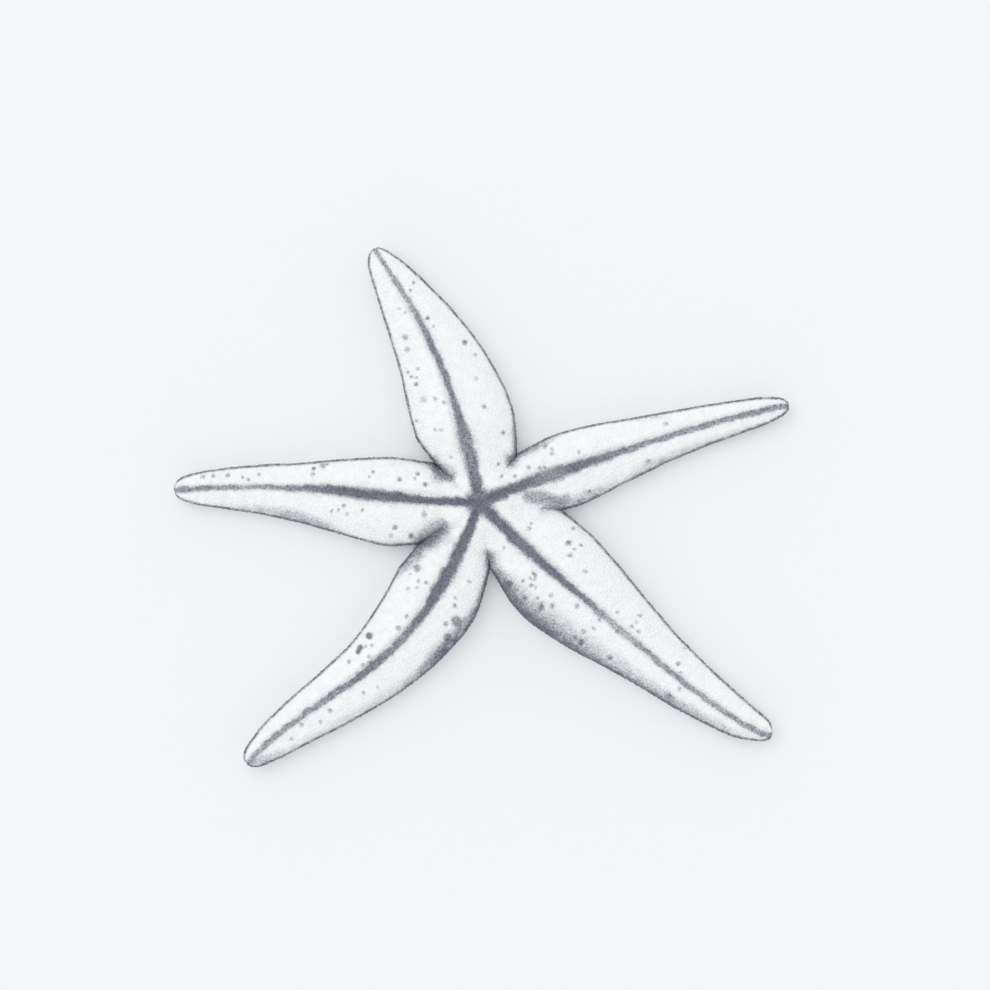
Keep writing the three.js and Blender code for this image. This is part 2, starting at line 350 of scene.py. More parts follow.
def half_sheet(k, side, upper):
    """A grid of points over half an arm, with their strip coordinates for the map."""
    arm, line = ARMS[k], LINES[k]
    ends = {s: FLANKS[k][s].row_ends() for s in (1, -1)}
    end_share = ends[side][0]
    share = (ends[1][0] + ends[-1][0]) / 2
    feet = {s: line.at(ends[s][0]) for s in ends}
    aside = {s: ends[s][1] - feet[s] for s in ends}
    far = {s: np.linalg.norm(aside[s], axis=1) for s in ends}
    row = np.arange(len(share))
    root = (FLANKS[k][1].root + FLANKS[k][-1].root) / 2
    inwards = np.minimum(1, row / DISC_ROWS)
    outwards = np.maximum(0, share - root) / (1 - root)
    cap = cap_at(line, share)
    half = (FLANKS[k][1].width_at(share) + FLANKS[k][-1].width_at(share)) / 2
    height = ARM_HEIGHT_BASE + ARM_HEIGHT_SHARE * half
    edge = lerp(EDGE_AT_PIT, EDGE_AT_TIP, outwards)
    room = CHANNEL_ROOM * np.minimum(far[1], far[-1])
    reach = np.minimum(room, channel_reach(share))
    fade = 1 - smoothstep(share, CHANNEL_END - CHANNEL_FADE, CHANNEL_END)
    channel = fade * reach / CHANNEL_REACH
    lip = np.where(reach > NO_WIDTH, reach / np.maximum(far[side], NO_WIDTH), CHANNEL_ROOM)
    curl = arm["lift"] * (np.maximum(0, outwards - CURL_START) / (1 - CURL_START)) ** 2
    ridge = edge + (lerp(DISC_HEIGHT, height, smoothstep(inwards, 0, 1)) - edge) * cap
    end_height = lerp(DISC_HEIGHT, edge, smoothstep(inwards, CREASE_START, 1))
    end_below = edge * smoothstep(inwards, SOLE_RISE_START, 1)

    in_channel, on_flank = UPPER_COLUMNS if upper else LOWER_COLUMNS
    inner = lip[:, None] * np.arange(in_channel + 1) / in_channel
    steps = np.sin(np.arange(1, on_flank + 1) / on_flank * math.pi / 2)
    across = np.concatenate([inner, lerp(lip[:, None], 1, steps)], axis=1)
    bent = lerp(share[:, None], end_share[:, None], across**2)
    plan = line.at(bent) + across[..., None] * aside[side][:, None, :]

    def column(v):
        return v[:, None]

    depth = column(channel) * (1 - np.minimum(1, across / column(lip)) ** 2) ** 2
    whole = column(inwards) ** 2
    if upper:
        vault = np.maximum(0, 1 - across**2) ** VAULT_POWER
        valley = 0.5 + 0.5 * np.cos(math.pi * across)
        section = lerp(valley, vault, whole)
        z = lerp(column(end_height), column(ridge), section) - FURROW_DEPTH * depth
    else:
        flat = lerp(SOLE_SHARE_AT_CENTRE, SOLE_SHARE, whole)
        out = np.maximum(0, (across - flat) / (1 - flat))
        rounding = lerp(out**2, 1 - np.sqrt(np.maximum(0, 1 - out**2)), whole)
        z = column(end_below) * (1 - column(cap) * (1 - rounding))
        from_centre = np.linalg.norm(plan, axis=-1)
        mouth = MOUTH_DEPTH * (1 - smoothstep(from_centre, MOUTH_RADIUS / 3, MOUTH_RADIUS))
        z = z + np.maximum(GROOVE_DEPTH * depth, mouth)
    z = z + column(curl)
    points = np.concatenate([plan, z[..., None]], axis=-1)
    # strip coordinates: along the arm, and over the surface from its middle line
    walked = np.linalg.norm(np.diff(points, axis=1), axis=-1)
    from_line = np.concatenate([np.zeros((len(row), 1)), np.cumsum(walked, axis=1)], axis=1)
    strip = np.stack([bent * line.length, from_line * side], axis=-1)
    return points, strip


STRIP_GAP = 1.2  # mm left between the strips of the map
STRIP_START = 0.5
MAP_SPAN = 172.0  # mm that the map's whole width stands for
WELD = 2e-3  # mm within which the sheets' points are joined
SLIVER = 1e-4


def strip_origins():
    """Where each arm's upper and lower strip goes in the map: (column start, row middle)."""
    origins = {}
    for upper in (True, False):
        level = STRIP_GAP
        for k in range(len(ARMS)):
            spans = {s: abs(half_sheet(k, s, upper)[1][..., 1]).max() for s in (1, -1)}
            start = STRIP_START + (0 if upper else MAP_SPAN / 2)
            origins[k, upper] = (start, level + spans[-1])
            level += spans[1] + spans[-1] + STRIP_GAP
    return origins


def make_skin():
    """The closed skin as one mesh, with each corner's arm and strip coordinates."""
    origins = strip_origins()
    points, strips, arms, uppers, faces = [], [], [], [], []
    count = 0
    for k in range(len(ARMS)):
        for side in (1, -1):
            for upper in (True, False):
                grid, strip = half_sheet(k, side, upper)
                rows, columns = grid.shape[:2]
                index = count + np.arange(rows * columns).reshape(rows, columns)
                a, b = index[:-1, :-1], index[:-1, 1:]
                c, d = index[1:, 1:], index[1:, :-1]
                if (side == -1) == upper:
                    quads = np.stack([a, b, c, d], axis=-1)
                else:
                    quads = np.stack([a, d, c, b], axis=-1)
                faces.append(quads.reshape(-1, 4))
                points.append(grid.reshape(-1, 3))
                strips.append((strip + origins[k, upper]).reshape(-1, 2))
                arms.append(np.full(rows * columns, k))
                uppers.append(np.full(rows * columns, upper, int))
                count += rows * columns
    points, strips, faces = map(np.concatenate, (points, strips, faces))
    mesh = bpy.data.meshes.new("skin")
    mesh.from_pydata(points.tolist(), [], faces.tolist())
    set_map(mesh, strips[faces.ravel()] / MAP_SPAN)
    for name, values in (("arm", arms), ("upper", uppers)):
        made = mesh.attributes.new(name, "INT", "FACE")
        made.data.foreach_set("value", np.concatenate(values)[faces[:, 0]])
    bm = bmesh.new()
    bm.from_mesh(mesh)
    bmesh.ops.remove_doubles(bm, verts=bm.verts, dist=WELD)
    bmesh.ops.dissolve_degenerate(bm, edges=bm.edges, dist=SLIVER)
    bm.to_mesh(mesh)
    bm.free()
    return mesh


def coordinates(mesh):
    return read(mesh.vertices, "co", 3).astype(float)


def normals(mesh):
    return read(mesh.vertex_normals, "vector", 3).astype(float)


# ---------- where points lie


class Places:
    """Where (x, y, z) points lie: their arm, the share along it, the distance to its left, how
    far inside the outline they are, and how far from the outline or the crease that continues
    it over the disc."""

    def __init__(self, points):
        self.points = points
        self.plan = points[:, :2]
        self.to_lines = [line.nearest(self.plan) for line in LINES]
        depths = np.empty((len(ARMS), len(points)))
        for k, (share, aside) in enumerate(self.to_lines):
            left, right = (FLANKS[k][side].width_at(share) for side in (1, -1))
            width = np.where(aside >= 0, left, right)
            depths[k] = width * cap_at(LINES[k], share) - np.abs(aside)
        self.arm = depths.argmax(axis=0)
        pick = (self.arm, np.arange(len(points)))
        self.share, self.aside = np.array(self.to_lines)[self.arm, :, pick[1]].T
        self.inside = depths[pick]
        self.from_edge = self.inside.copy()
        for k in range(len(ARMS)):
            for side, flank in FLANKS[k].items():
                mine = self.on(k, side) & (self.share < flank.root)
                plan, pit = self.plan[mine], flank.pit
                to_pit = np.linalg.norm(plan - pit, axis=1)
                t = np.clip(plan @ pit / (pit @ pit), 0, 1)
                self.inside[mine] = to_pit
                self.from_edge[mine] = np.linalg.norm(plan - t[:, None] * pit, axis=1)

    def on(self, k, side):
        """Which points lie on one flank."""
        return (self.arm == k) & ((self.aside >= 0) == (side > 0))


def groove_reach(places):
    """Half the width of the open groove under each point."""
    ended = 1 - smoothstep(places.share, CHANNEL_END - CHANNEL_FADE, CHANNEL_END)
    return channel_reach(places.share) * ended


# ---------- pigment and painted shade

# Shares of the arm's length past a shade's first station between which it sets in, and past its
# last one where it is let go
SHADE_START = (-0.05, 0.01)
SHADE_TAIL = 0.02


class Shade:
    """Painted shade on a flank, where it turns away from the light: stations along the arm, how far
    it reaches in from the edge there, and how dark it is. side is 1 on the left and -1 on the right."""

    def __init__(self, arm, side, stations, reaches, darkness):
        self.arm = [a["name"] for a in ARMS].index(arm)
        self.side = side
        self.stations = stations
        self.reaches = reaches
        self.darkness = darkness

    def at(self, places):
        """Which points it may touch, and its reach and darkness at them."""
        first, last = self.stations[0], self.stations[-1]
        near = (places.share > first + SHADE_START[0]) & (places.share < last + SHADE_TAIL)
        mine = places.on(self.arm, self.side) & near
        share = places.share[mine]
        start = smoothstep(share, *(first + past for past in SHADE_START))
        reach = curve_at(share, self.stations, self.reaches)
        return mine, reach, start * curve_at(share, self.stations, self.darkness)


# Painted shade on the flanks that turn away from the light
SHADES = [
    Shade("lower_right", -1, (0.15, 0.2, 0.35, 0.5, 0.7, 0.9), (2.2, 3.2, 2.9, 1.9, 1.3, 0.6),
          (0.6, 0.8, 0.8, 0.7, 0.56, 0)),
    Shade("lower_right", -1, (0.15, 0.25, 0.36, 0.5, 0.7, 0.88), (3.2, 6.0, 6.8, 5.4, 3.2, 1.4),
          (0.4, 0.55, 0.6, 0.4, 0.36, 0)),
    Shade("lower_left", 1, (0.17, 0.25, 0.33, 0.4, 0.5, 0.58), (0.9, 1.7, 3.4, 4.0, 2.2, 1.0),
          (0.7, 0.75, 0.8, 0.92, 0.42, 0)),
    Shade("lower_left", 1, (0.45, 0.6, 0.85, 0.92, 0.99), (2.4, 3.0, 2.4, 2.8, 4.5),
          (0.12, 0.22, 0.18, 0.32, 0.5)),
    Shade("lower_left", -1, (0.12, 0.2, 0.26, 0.34), (2.2, 3.6, 2.8, 0.8), (0.5, 0.72, 0.6, 0)),
    Shade("lower_right", -1, (0.6, 0.72, 0.85, 0.95), (1.5, 3.2, 3.0, 1.6), (0, 0.36, 0.4, 0.15)),
    Shade("left", 1, (0.4, 0.5, 0.6, 0.75, 0.9), (1.0, 2.6, 3.4, 2.4, 1.2), (0, 0.46, 0.52, 0.3, 0)),
    Shade("left", 1, (0.22, 0.26, 0.32), (1.0, 1.4, 0.8), (0.5, 0.35, 0)),
    Shade("left", -1, (0.1, 0.17, 0.26), (1.6, 1.6, 0.6), (0.4, 0.4, 0)),
    Shade("right", -1, (0.22, 0.3, 0.38, 0.46), (2.6, 3.4, 2.6, 1.0), (0.5, 0.5, 0.3, 0)),
    Shade("right", -1, (0.42, 0.5, 0.7, 0.9), (1.0, 2.6, 2.2, 1.4), (0, 0.34, 0.26, 0.14)),
    Shade("right", 1, (0.15, 0.22, 0.34), (1.4, 2.2, 0.8), (0.6, 0.55, 0)),
    Shade("right", 1, (0.5, 0.58, 0.66), (1.2, 1.8, 1.2), (0, 0.2, 0)),
    Shade("top", -1, (0.14, 0.2, 0.3), (1.4, 1.6, 0.6), (0.5, 0.45, 0)),
    Shade("top", 1, (0.15, 0.25, 0.34), (1.2, 1.2, 0.6), (0.5, 0.35, 0)),
]

# Straight smudges of painted shade beside a crease: both ends, half-width, darkness
SMUDGES = [
    ((10.2, 1.3), (17.4, 0.5), 1.5, 0.62),
    ((16.6, 0.7), (18.4, 0.9), 1.0, 0.4),
]

# The spots that are placed one by one: x, y, radius, darkness
SPOTS = [
    (-23.4, -28.2, 0.75, 0.9), (-25.3, -30.6, 0.65, 0.9), (-25.7, -31.5, 0.6, 0.9),
    (-13.2, -13.9, 0.8, 0.7), (-7.2, -25.6, 0.55, 0.55), (-4.9, -25.2, 1.15, 0.75),
    (-6.7, -28.5, 0.85, 0.7), (-15.4, -24.0, 0.45, 0.65), (-17.2, -26.5, 0.5, 0.65),
    (18.6, -8.6, 0.6, 0.8), (6.2, -17.2, 0.75, 0.9), (21.3, -29.6, 0.65, 0.9),
    (12.9, -22.1, 0.7, 0.85), (9.5, -20.1, 0.55, 0.7), (27.4, -32.8, 0.6, 0.7),
    (40.0, -40.9, 0.55, 0.65), (42.1, -39.4, 0.5, 0.6), (22.2, -14.5, 0.5, 0.55),
    (-14.5, -7.1, 0.6, 0.85), (-17.9, -5.3, 0.5, 0.75), (-11.5, 3.8, 0.5, 0.75),
    (-13.1, 6.0, 0.45, 0.75), (-22.6, 6.4, 0.4, 0.75), (-33.2, 7.6, 0.6, 0.55),
    (-35.3, 5.9, 0.5, 0.5), (-56.3, 5.6, 0.45, 0.65), (-3.2, 33.7, 0.55, 0.8),
    (-15.8, 34.8, 0.65, 0.5), (-15.4, 32.2, 0.6, 0.45), (-13.5, 24.8, 0.45, 0.65),
    (-12.0, 21.6, 0.75, 0.35), (10.3, 7.4, 0.45, 0.65), (13.7, 11.8, 0.6, 0.45),
    (20.8, 10.6, 0.4, 0.65), (39.2, 16.5, 0.5, 0.4), (35.4, 8.7, 0.55, 0.5),
    (12.6, 7.2, 0.4, 0.65), (13.6, 7.3, 0.4, 0.6), (4.6, 5.5, 0.38, 0.65), (7.4, 5.5, 0.38, 0.65),
    (15.2, 11.2, 0.45, 0.45), (-14.0, 46.4, 0.32, 0.65), (-14.7, 44.7, 0.38, 0.6),
    (-17.1, 40.9, 0.32, 0.6), (-15.7, 40.0, 0.3, 0.5), (-9.4, 21.8, 0.4, 0.55),
    (-7.6, 21.0, 0.38, 0.6), (-13.4, 17.2, 0.35, 0.6), (-9.5, 15.2, 0.34, 0.55),
    (-8.1, 15.2, 0.34, 0.6), (-6.2, 9.5, 0.34, 0.55), (0.9, 20.1, 0.45, 0.65),
    (4.9, 14.6, 0.45, 0.6), (3.9, 8.1, 0.36, 0.6), (-1.0, 31.1, 0.4, 0.35),
    (-0.8, 26.0, 0.45, 0.3), (-31.3, -1.9, 0.36, 0.65), (-24.7, -1.6, 0.36, 0.5),
    (-11.8, -2.5, 0.6, 0.6), (-58.6, 5.4, 0.5, 0.5), (-53.3, 5.7, 0.45, 0.5),
    (-48.9, 4.8, 0.36, 0.6), (-46.6, 5.9, 0.34, 0.65), (-23.3, 5.3, 0.34, 0.55),
    (-16.9, 4.8, 0.5, 0.65), (-13.7, 5.0, 0.34, 0.5), (-5.2, -20.2, 0.36, 0.6),
    (-5.3, -21.8, 0.44, 0.65), (-24.6, -40.2, 0.38, 0.65), (-31.7, -44.0, 0.42, 0.65),
    (-33.6, -46.4, 0.38, 0.55), (-37.6, -46.9, 0.5, 0.5), (-39.8, -50.0, 0.45, 0.4),
    (-11.3, -16.9, 0.38, 0.65), (-13.4, -18.0, 0.3, 0.5), (-24.1, -30.4, 0.34, 0.6),
    (-22.8, -30.2, 0.34, 0.55), (-23.4, -32.5, 0.4, 0.6), (-27.7, -33.6, 0.44, 0.6),
    (-24.7, -34.3, 0.38, 0.6), (10.8, -4.5, 0.36, 0.6), (10.4, -5.5, 0.42, 0.65),
    (19.7, -5.5, 0.36, 0.55), (19.0, -11.2, 0.48, 0.6), (28.9, -23.1, 0.4, 0.5),
    (33.7, -23.9, 0.4, 0.65), (32.9, -25.3, 0.3, 0.5), (32.0, -26.2, 0.38, 0.65),
    (33.4, -27.3, 0.42, 0.65), (41.8, -34.1, 0.46, 0.65), (42.4, -35.9, 0.3, 0.5),
    (5.0, -9.6, 0.36, 0.5), (11.7, -15.3, 0.42, 0.6), (9.1, -16.6, 0.38, 0.6),
    (10.8, -17.5, 0.42, 0.6), (14.9, -19.6, 0.5, 0.5), (15.2, -21.8, 0.5, 0.65),
    (20.5, -21.8, 0.5, 0.6), (25.1, -24.7, 0.4, 0.6), (23.9, -26.5, 0.4, 0.55),
    (28.9, -27.3, 0.4, 0.55), (21.8, -27.2, 0.5, 0.6), (20.0, -28.4, 0.55, 0.65),
]

# Specks lie from a share of the arm past its root to a share of the whole arm, and between two
# shares of the flank's width. A cluster has up to CLUSTER_MOST of them, spread as far as it says.
SPECK_ENDS = (0.02, 0.9)
SPECK_LEANS = (0.3, 0.85)
LAST_SHARE = 0.95
CLUSTER_MOST = 4
CLUSTER_LENGTH = 1.6
CLUSTER_WIDTH = 1.2
STRIPE_ROOM = 2.1
EDGE_ROOM = 0.8
SPECK_RADII = (0.26, 0.44)
SPECK_DARKNESS = (0.45, 0.8)


def small_specks():
    """Small spots in loose clusters on each flank: rows of x, y, radius, darkness."""
    specks = []
    for k, arm in enumerate(ARMS):
        for side, count in zip((1, -1), arm["specks"]):
            flank = FLANKS[k][side]
            while count > 0:
                share = rng.uniform(flank.root + SPECK_ENDS[0], SPECK_ENDS[1])
                lean = rng.uniform(*SPECK_LEANS)
                cluster = min(count, int(rng.integers(1, CLUSTER_MOST + 1)))
                count -= cluster
                for _ in range(cluster):
                    s = share + rng.normal(0, CLUSTER_LENGTH) / flank.line.length
                    s = np.clip(s, 0, LAST_SHARE)
                    width = flank.width_at(s)
                    off = lean * width + rng.normal(0, CLUSTER_WIDTH)
                    off = np.clip(off, STRIPE_ROOM, max(width - EDGE_ROOM, STRIPE_ROOM))
                    x, y = flank.line.at(s) + flank.line.aside(s) * off * side
                    specks.append((x, y, rng.uniform(*SPECK_RADII), rng.uniform(*SPECK_DARKNESS)))
    return specks


SPECKS = np.array(SPOTS + small_specks())


def over(base, layer):
    """One layer of pigment laid over another."""
    return 1 - (1 - base) * (1 - layer)


# A stripe fades out between these shares of its half-width, and so does the fainter halo of
# painted shade round it. A SWAY is how far noise moves an edge, in the same unit, or what share of
# a width it adds.
STRIPE_FADE = (0.5, 1.4)
STRIPE_SWAYS = (0.24, 0.2)
WIDTH_SWAY = 0.2
HALO_FADE = (1.0, 2.5)
HALO_SWAY = 0.5
HALO_DARKNESS = 0.13
HALO_STARTS = (0.04, 0.2)
# The blot where the stripes meet fades out between these distances from the centre
BLOT_FADE = (2.0, 4.2)
BLOT_SWAY = 0.4
BLOT_DARKNESS = 0.95


def stripe_stain_and_shade(places, wobble, blotch):
    """Dark stripes along the middle lines, meeting in a blot at the centre: partly a slate stain and
    partly painted shade of the furrows, with a fainter halo of painted shade round them.
    """
    dark = np.zeros(len(places.plan))
    for arm, (share, aside) in zip(ARMS, places.to_lines):
        stations, halves, darkness, shifts = zip(*arm["stripe"])
        half = curve_at(share, stations, halves)
        depth = curve_at(share, stations, darkness)
        aside = aside - curve_at(share, stations, shifts)
        swayed = aside + STRIPE_SWAYS[0] * wobble + STRIPE_SWAYS[1] * blotch
        off = np.abs(swayed) / (half * (1 + WIDTH_SWAY * wobble))
        core = depth * (1 - smoothstep(off, *STRIPE_FADE))
        halo = HALO_DARKNESS * (1 - smoothstep(off + HALO_SWAY * wobble, *HALO_FADE))
        halo = halo * smoothstep(share, *HALO_STARTS)
        dark = np.maximum(dark, over(core, halo))
    radius = np.linalg.norm(places.plan, axis=1)
    blot = BLOT_DARKNESS * (1 - smoothstep(radius + BLOT_SWAY * wobble, *BLOT_FADE))
    return np.maximum(dark, blot)


# mm past a crease's inner end and past its pit over which its smudge sets in and ends
CREASE_START_FADE = (-0.9, 1.2)
CREASE_END_FADE = (0.2, 1.6)
CREASE_LINE_WIDTH = 0.4
CREASE_END_WIDTH = 0.75  # of its width half-way
SMUDGE_FADE = (0.3, 1.3)
SMUDGE_SWAY = 0.3


def crease_shade(plan, wobble):
    """Painted shade: smudges that run in from the pits along the creases, and the straight ones."""
    dark = np.zeros(len(plan))
    for pit in PITS:
        point = pit_point(pit)
        along_way = point / pit["radius"]
        across_way = np.array([-along_way[1], along_way[0]])
        along = plan @ along_way
        inner, spread = pit["inner"], pit["spread"]
        t = np.clip((along - inner) / (pit["radius"] - inner), 0, 1)
        across = plan @ across_way - pit["aside"] * np.sin(math.pi * t)
        start = smoothstep(along + wobble, *(inner + mm for mm in CREASE_START_FADE))
        end = 1 - smoothstep(along, *(pit["radius"] + mm for mm in CREASE_END_FADE))
        bulge = lerp(CREASE_END_WIDTH, 1, np.sin(math.pi * t))
        wide = spread * bulge * (1 + SMUDGE_SWAY * wobble)
        smudge = pit["dark"] * start * end * np.exp(-((across / wide) ** 2))
        on_line = np.exp(-((plan @ across_way / CREASE_LINE_WIDTH) ** 2))
        line = pit["line"] * start * end * on_line
        dark = np.maximum(dark, over(smudge, line))
    for start, end, half, deep in SMUDGES:
        way = np.subtract(end, start)
        t = np.clip((plan - start) @ way / (way @ way), 0, 1)
        off = np.linalg.norm(plan - start - t[:, None] * way, axis=1) / half
        fade = smoothstep(off + SMUDGE_SWAY * wobble, *SMUDGE_FADE)
        dark = np.maximum(dark, deep * (1 - fade))
    return dark


WOBBLE_SIZE = 2.2
BLOTCH_SIZE = 1.1
BLOTCH_PATTERN = 31.0
SHADE_SWAYS = (0.35, 0.25)
SHADE_EDGE_SWAY = 0.35
SHADE_FULL = 0.25  # share of its reach up to which a shade is at its darkest
SPOT_FADE = (0.6, 1.4)  # shares of a spot's radius between which it fades out
RIM_FADE = (0.18, 0.7)  # mm inside the outline between which the dark rim fades out
RIM_DARKNESS = 0.84
RIM_SWAY = 0.45


def pigment_and_shade_at(places, upward):
    """How much slate grey covers each point, from 0 to 1: stains, spots and the dark rim, and painted
    shade in the furrows, the creases and on some flanks. upward is 1 on the upper side and 0 on the
    underside."""
    wobble = noise_at(places.points, WOBBLE_SIZE)
    blotch = noise_at(places.points, BLOTCH_SIZE, BLOTCH_PATTERN)
    dark = stripe_stain_and_shade(places, wobble, blotch)
    dark = over(dark, crease_shade(places.plan, wobble))
    for shade in SHADES:
        mine, reach, deep = shade.at(places)
        deep = deep * (1 + SHADE_SWAYS[0] * wobble[mine] + SHADE_SWAYS[1] * blotch[mine])
        depth = places.from_edge[mine] + SHADE_EDGE_SWAY * wobble[mine]
        falling = 1 - smoothstep(depth, SHADE_FULL * reach, reach)
        dark[mine] = over(dark[mine], np.clip(deep, 0, 1) * falling)
    for x, y, radius, deep in SPECKS:
        near = np.hypot(places.plan[:, 0] - x, places.plan[:, 1] - y) / radius
        close = near < SPOT_FADE[1]
        dark[close] = over(dark[close], deep * (1 - smoothstep(near[close], *SPOT_FADE)))
    rim = (RIM_DARKNESS + RIM_SWAY * blotch) * (1 - smoothstep(places.inside, *RIM_FADE))
    dark = over(dark, np.clip(rim, 0, 1))
    return np.clip(dark * upward, 0, 1)


# ---------- materials


def linear(r, g, b):
    """A colour given as it is seen on a screen, 0 to 255, as the shader takes it."""

    def one(c):
        c /= 255
        return c / 12.92 if c <= 0.04045 else ((c + 0.055) / 1.055) ** 2.4

    return (one(r), one(g), one(b), 1)


WHITE = linear(249, 250, 251)
WHITE_SHADED = linear(237, 238, 240)
# Slate grey colours the stains, spots and rim, and the painted shade in furrows, creases and on
# flanks
SLATE = linear(70, 73, 93)
SLATE_LIGHT = linear(92, 95, 114)
TISSUE = linear(206, 194, 176)


class Nodes:
    """Short calls for building a node material."""

    def __init__(self, name):
        self.material = bpy.data.materials.new(name)
        self.material.use_nodes = True
        self.tree = self.material.node_tree
        self.shader = self.tree.nodes["Principled BSDF"]

    def node(self, kind, settings=None, **inputs):
        made = self.tree.nodes.new(kind)
        for key, value in (settings or {}).items():
            setattr(made, key, value)
        for key, value in inputs.items():
            self.plug(made.inputs[key.replace("_", " ")], value)
        return made

    def plug(self, socket, value):
        if isinstance(value, bpy.types.NodeSocket):
            self.tree.links.new(value, socket)
        else:
            socket.default_value = value

    def math(self, operation, *values):
        made = self.tree.nodes.new("ShaderNodeMath")
        made.operation = operation
        for socket, value in zip(made.inputs, values):
            self.plug(socket, value)
        return made.outputs[0]

    def attribute(self, name):
        return self.node("ShaderNodeAttribute", {"attribute_name": name}).outputs["Fac"]

    def mix(self, factor, a, b):
        made = self.tree.nodes.new("ShaderNodeMix")
        made.data_type = "RGBA"
        self.plug(made.inputs["Factor"], factor)
        self.plug(made.inputs["A"], a)
        self.plug(made.inputs["B"], b)
        return made.outputs["Result"]

    def noise(self, size_mm, detail, roughness):
        coordinates = self.node("ShaderNodeTexCoord").outputs["Object"]
        made = self.node(
            "ShaderNodeTexNoise",
            Vector=coordinates,
            Scale=1 / (size_mm * MM),
            Detail=detail,
            Roughness=roughness,
        )
        return made.outputs[0]

    def spread(self, value, low, high):
        """The value from low to high, stretched over 0 to 1."""
        made = self.node("ShaderNodeMapRange", Value=value)
        made.inputs["From Min"].default_value = low
        made.inputs["From Max"].default_value = high
        return made.outputs[0]

    def bump(self, height, depth_mm):
        made = self.node("ShaderNodeBump", Height=height)
        made.inputs["Strength"].default_value = 1.0
        made.inputs["Distance"].default_value = depth_mm * MM
        self.plug(self.shader.inputs["Normal"], made.outputs[0])


# Each kind of noise: mm across, detail, roughness
FINE_GRAIN = (0.42, 2.0, 0.6)
FINE_RANGE = (0.33, 0.67)
COARSE_GRAIN = (1.5, 2.0, 0.5)
COARSE_RANGE = (0.3, 0.7)
SURFACE_GRAIN = (0.28, 3.0, 0.6)
GRAIN_SWING = 2.3
ROUGHNESS = 0.86
SLATE_GLOSS = 0.14
SPECULAR = 0.28


def starfish_material(name, bump_mm):
    """Chalky white, greyer where the mesh's "tone" attribute is high: painted shade on the skin
    between the granules, and random variation on the granules. Grainy slate grey where "pigment"
    says: partly stain and partly painted shade. Dried tissue where "tissue" does."""
    m = Nodes(name)
    amount = m.attribute("pigment_and_shade")
    fine = m.spread(m.noise(*FINE_GRAIN), *FINE_RANGE)
    coarse = m.spread(m.noise(*COARSE_GRAIN), *COARSE_RANGE)
    grain = m.math("ADD", m.math("MULTIPLY", fine, 0.75), m.math("MULTIPLY", coarse, 0.25))
    # grain tells most where the slate grey, stain or painted shade, is thin
    room = m.math("MULTIPLY", amount, m.math("SUBTRACT", 1.0, amount))
    thin = m.math("MULTIPLY", room, GRAIN_SWING)
    swing = m.math("MULTIPLY", thin, m.math("SUBTRACT", grain, 0.5))
    cover = m.math("ADD", amount, swing)
    cover = m.math("MULTIPLY", cover, m.math("ADD", 0.82, m.math("MULTIPLY", fine, 0.18)))
    cover = m.node("ShaderNodeClamp", Value=cover).outputs[0]
    # painted shade: greyer white on the skin between the granules; the granules vary at random
    chalk = m.mix(m.math("MULTIPLY", coarse, m.attribute("tone_and_shade")), WHITE, WHITE_SHADED)
    patchy = m.math("ADD", 0.6, m.math("MULTIPLY", coarse, 0.4))
    tissue = m.math("MULTIPLY", m.attribute("tissue"), patchy)
    chalk = m.mix(tissue, chalk, TISSUE)
    slate = m.mix(fine, SLATE, SLATE_LIGHT)
    m.plug(m.shader.inputs["Base Color"], m.mix(cover, chalk, slate))
    rough = m.math("SUBTRACT", ROUGHNESS, m.math("MULTIPLY", cover, SLATE_GLOSS))
    m.plug(m.shader.inputs["Roughness"], rough)
    m.shader.inputs["Specular IOR Level"].default_value = SPECULAR
    m.bump(m.noise(*SURFACE_GRAIN), bump_mm)
    return m.material


SKIN_MATERIAL = starfish_material("chalky_skin", 0.05)
GRANULE_MATERIAL = starfish_material("granules", 0.02)


# ---------- pieces


def put(mesh, material):
    """Makes an object of a mesh whose points are in millimetres. It rides on the one body."""
    mesh.transform(Matrix.Diagonal((MM, MM, MM, 1)))
    mesh.materials.append(material)
    mesh.shade_smooth()
    piece = bpy.data.objects.new(mesh.name, mesh)
    bpy.context.scene.collection.objects.link(piece)
    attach(piece, "root")
    return piece


def set_attribute(mesh, name, values):
    made = mesh.attributes.new(name, "FLOAT", "POINT")
    made.data.foreach_set("value", np.asarray(values, np.float32))


# The skin: the CAD part's shape, with shallow uneven relief

SOLE_CLEARANCE = 0.3  # mm that the spines and granules below the sole take up
PLATE_PITCH = 1.7
PLATE_RELIEF = 0.09
SWELLS = ((0.16, 6.5, 0.0), (0.08, 2.4, 5.0))  # mm high, mm across, pattern
# Painted shade: the skin between the granules is coloured greyer than the granules
SKIN_SHADE = 0.9
UPWARD_FADE = (-0.45, -0.05)  # of a normal's z
# The plates: how blunt they are, how far they are let down, and mm from the outline and shares of
# the arm between which their band sets in and ends
PLATE_BLUNTNESS = 0.7
PLATE_DROP = 0.6
BAND_START = (0, 0.3)
BAND_END = (1.0, 1.8)
FREE_ARM = (0.22, 0.3)
RELIEF_START = (0.2, 2.0)  # mm above the sole's plane
GROOVE_TISSUE = (-0.1, 0.7)  # mm inside a groove's edge
MOUTH_TISSUE = (2.6, 4.2)  # mm from the centre


def upward_at(facing):
    """1 where the surface faces up or outwards, and 0 on the underside."""
    return smoothstep(facing[:, 2], *UPWARD_FADE)


